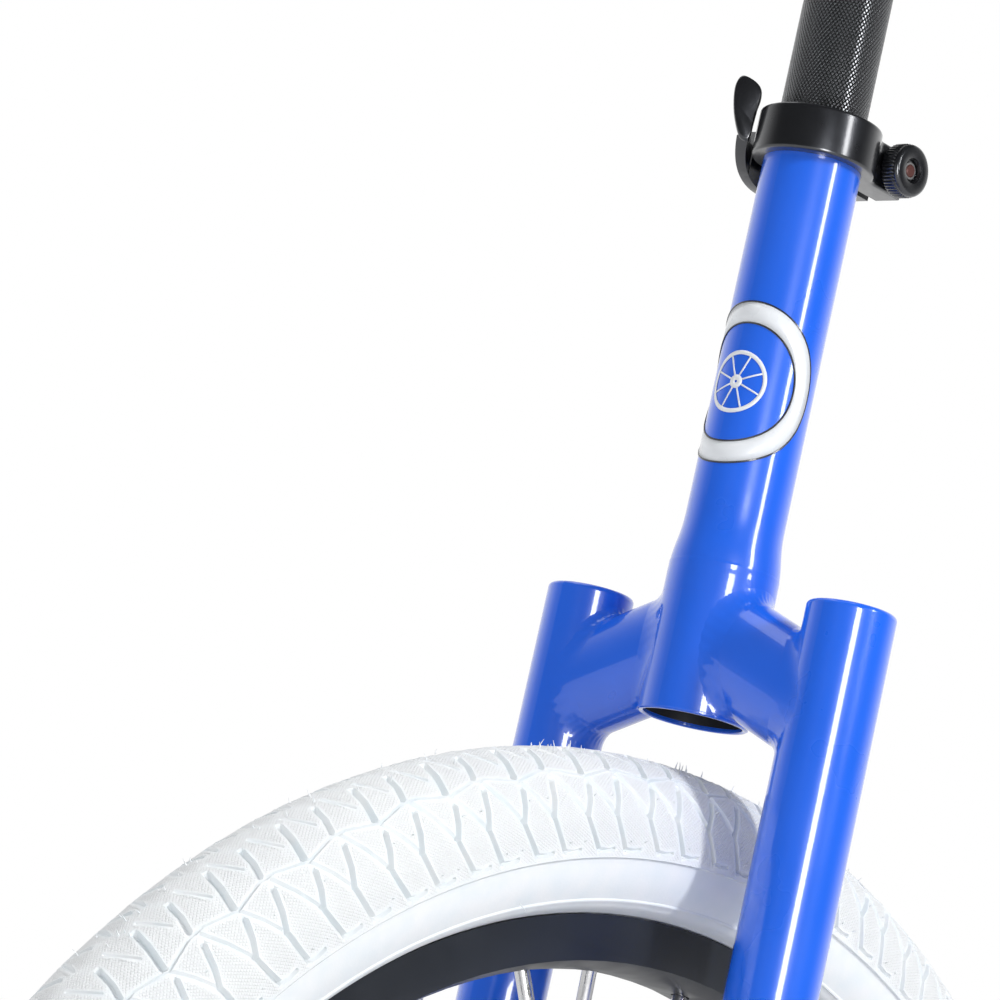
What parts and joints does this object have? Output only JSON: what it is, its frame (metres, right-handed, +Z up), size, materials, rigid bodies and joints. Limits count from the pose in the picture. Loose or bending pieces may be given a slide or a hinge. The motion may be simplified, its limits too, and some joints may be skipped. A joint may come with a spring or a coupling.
{
  "type": "unicycle",
  "caption": "Unicycle with a twenty inch white tyre, a blue steel frame, a quick release seat clamp, level cranks with pedals and a curved saddle.",
  "frame": {"origin": "where the tyre meets the ground, under the middle of the wheel", "axes": "+X forward, +Y to the rider's left along the axle, +Z up"},
  "size_m": [0.5059, 0.352, 0.8866],
  "materials": {
    "frame_paint": "gloss paint",
    "black_anodised": "satin black",
    "steel": "bright zinc",
    "dark_steel": "dark machined",
    "brass": "pressed brass",
    "black_rubber": "matt",
    "white_rubber": "matt white rubber",
    "black_plastic": "moulded",
    "grey_plastic": "moulded",
    "black_rim": "satin black anodised",
    "rim_tape": "smooth",
    "alloy": "polished",
    "amber": "prismatic",
    "black_steel": "knurled black",
    "foam": "open cell",
    "saddle_vinyl": "grained vinyl"
  },
  "bodies": {
    "frame": {"neck_tube": "frame_paint", "left_crossbar": "frame_paint", "right_crossbar": "frame_paint", "left_leg": "frame_paint", "right_leg": "frame_paint", "left_bearing_seat": "frame_paint", "right_bearing_seat": "frame_paint", "left_bearing_cap": "frame_paint", "right_bearing_cap": "frame_paint", "bearing_cap_bolts": "steel", "bearing_outer_races": "steel", "bearing_seals": "black_rubber", "clamp_collar": "black_anodised", "clamp_skewer": "steel", "clamp_shoe": "grey_plastic", "clamp_cam_pin": "steel"},
    "wheel": {"tyre": "white_rubber", "inner_tube": "black_rubber", "valve_stem": "black_rubber", "valve_cap": "black_plastic", "rim": "black_rim", "rim_tape": "rim_tape", "left_spokes": "steel", "right_spokes": "steel", "spoke_nipples": "steel", "hub_shell": "steel", "axle": "dark_steel", "bearing_inner_races": "steel", "left_crank": "alloy", "right_crank": "alloy", "crank_bolts": "steel", "crank_dust_caps": "black_plastic", "left_pedal_spindle": "dark_steel", "right_pedal_spindle": "dark_steel"},
    "bearing_balls": {"bearing_balls": "steel", "bearing_cages": "brass"},
    "left_pedal": {"left_pedal_body": "black_plastic", "left_pedal_bushings": "grey_plastic", "left_pedal_cap": "black_plastic", "left_pedal_reflectors": "amber"},
    "right_pedal": {"right_pedal_body": "black_plastic", "right_pedal_bushings": "grey_plastic", "right_pedal_cap": "black_plastic", "right_pedal_reflectors": "amber"},
    "saddle": {"seat_post": "black_steel", "saddle_base": "black_plastic", "saddle_foam": "foam", "saddle_cover": "saddle_vinyl", "saddle_bolts": "steel", "saddle_nuts": "steel", "front_bumper": "black_plastic", "rear_bumper": "black_plastic", "bumper_screws": "steel"},
    "clamp_lever": {"clamp_lever": "black_anodised"},
    "clamp_nut": {"clamp_nut": "black_anodised"}
  },
  "joints": [
    {"name": "wheel_spin", "type": "hinge", "parent": "frame", "child": "wheel", "pos_m": [0, 0, 0.253], "axis": [0, 1, 0], "continuous": true},
    {"name": "bearing_ball_roll", "type": "hinge", "parent": "frame", "child": "bearing_balls", "pos_m": [0, 0, 0.253], "axis": [0, 1, 0], "continuous": true},
    {"name": "left_pedal_spin", "type": "hinge", "parent": "wheel", "child": "left_pedal", "pos_m": [0.127, 0.132, 0.253], "axis": [0, 1, 0], "continuous": true},
    {"name": "right_pedal_spin", "type": "hinge", "parent": "wheel", "child": "right_pedal", "pos_m": [-0.127, -0.132, 0.253], "axis": [0, 1, 0], "continuous": true},
    {"name": "saddle_height", "type": "slide", "parent": "frame", "child": "saddle", "axis": [0, 0, 1], "range_m": [-0.055, 0.05]},
    {"name": "clamp_lever_swing", "type": "hinge", "parent": "frame", "child": "clamp_lever", "pos_m": [-0.023, -0.0193, 0.6918], "axis": [0, 0, -1], "range_deg": [0, 165]},
    {"name": "clamp_nut_turn", "type": "hinge", "parent": "frame", "child": "clamp_nut", "pos_m": [-0.023, 0.0117, 0.6918], "axis": [0, 1, 0], "range_deg": [-180, 180]}
  ],
  "couplings": [
    {"joint": "bearing_ball_roll", "follows": "wheel_spin", "ratio": 0.37368}
  ]
}
